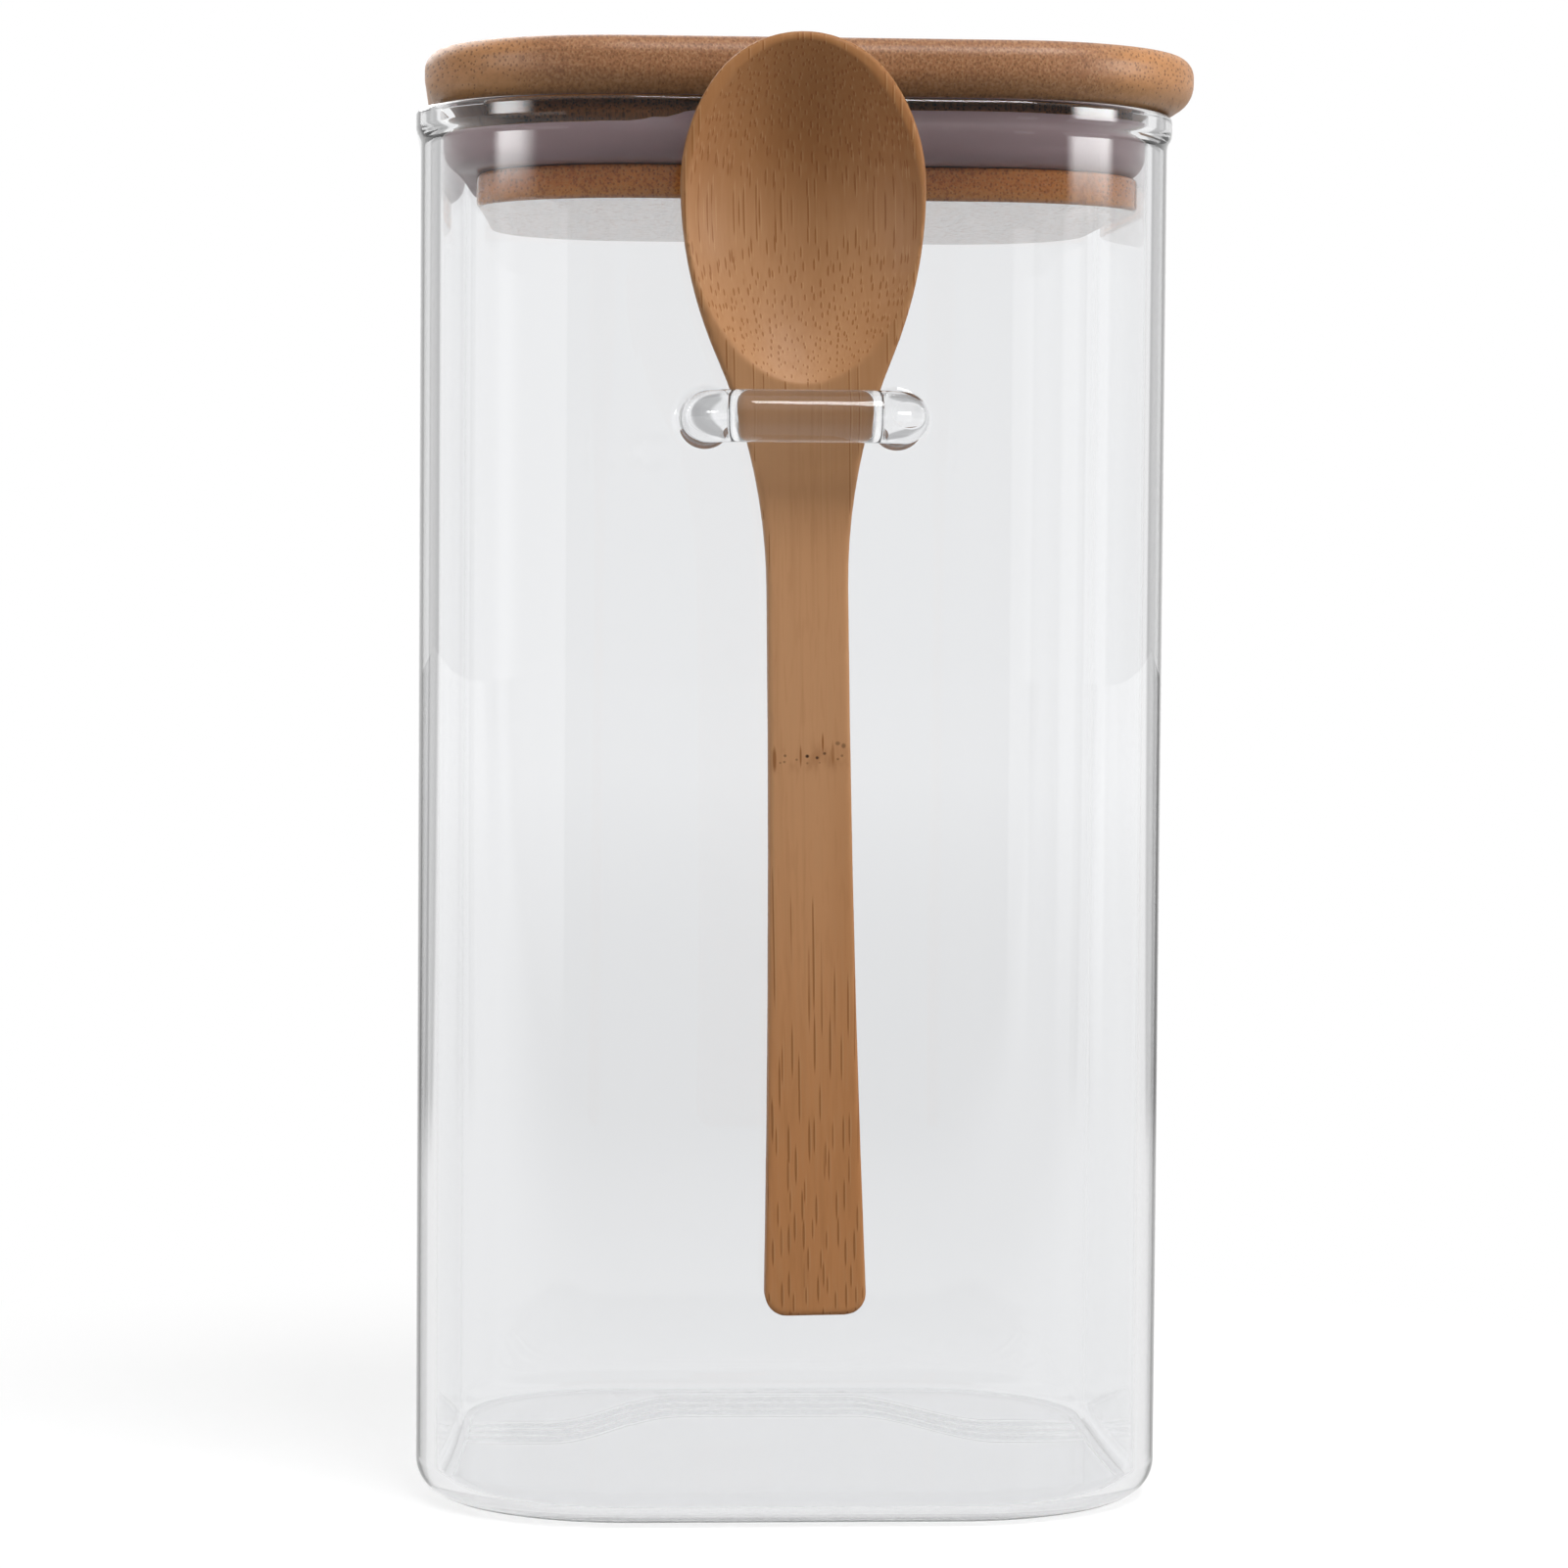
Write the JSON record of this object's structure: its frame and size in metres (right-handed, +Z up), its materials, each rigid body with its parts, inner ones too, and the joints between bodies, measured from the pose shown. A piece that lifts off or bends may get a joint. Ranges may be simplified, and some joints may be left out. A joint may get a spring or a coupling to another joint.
{
  "type": "storage jar",
  "caption": "Rounded-square clear glass jar with a bamboo plug lid, a silicone lip seal, and a bamboo spoon that hangs bowl-up in a glass rod loop on its front wall.",
  "frame": {"origin": "centre of the base, on the table", "axes": "+Z up the jar towards the lid; the loop and spoon are on the -Y wall; +X to the right seen from the front"},
  "size_m": [0.0985, 0.1142, 0.1833],
  "materials": {
    "clear_glass": "polished clear",
    "loop_glass": "fire polished clear",
    "lid_bamboo": "satin lacquer",
    "plug_bamboo": "satin lacquer",
    "silicone": "translucent matte",
    "spoon_bamboo": "satin oiled"
  },
  "bodies": {
    "jar": {"jar_body": "clear_glass", "spoon_loop": "loop_glass"},
    "lid": {"lid_cap": "lid_bamboo", "lid_plug": "plug_bamboo", "seal_ring": "silicone"},
    "spoon": {"spoon": "spoon_bamboo"}
  },
  "joints": [
    {"name": "lid_lift", "type": "slide", "parent": "jar", "child": "lid", "axis": [0, 0, 1], "range_m": [0, 0.06]},
    {"name": "spoon_lift", "type": "slide", "parent": "jar", "child": "spoon", "axis": [-0.0206, -0.0384, 0.9991], "range_m": [0, 0.125]}
  ]
}
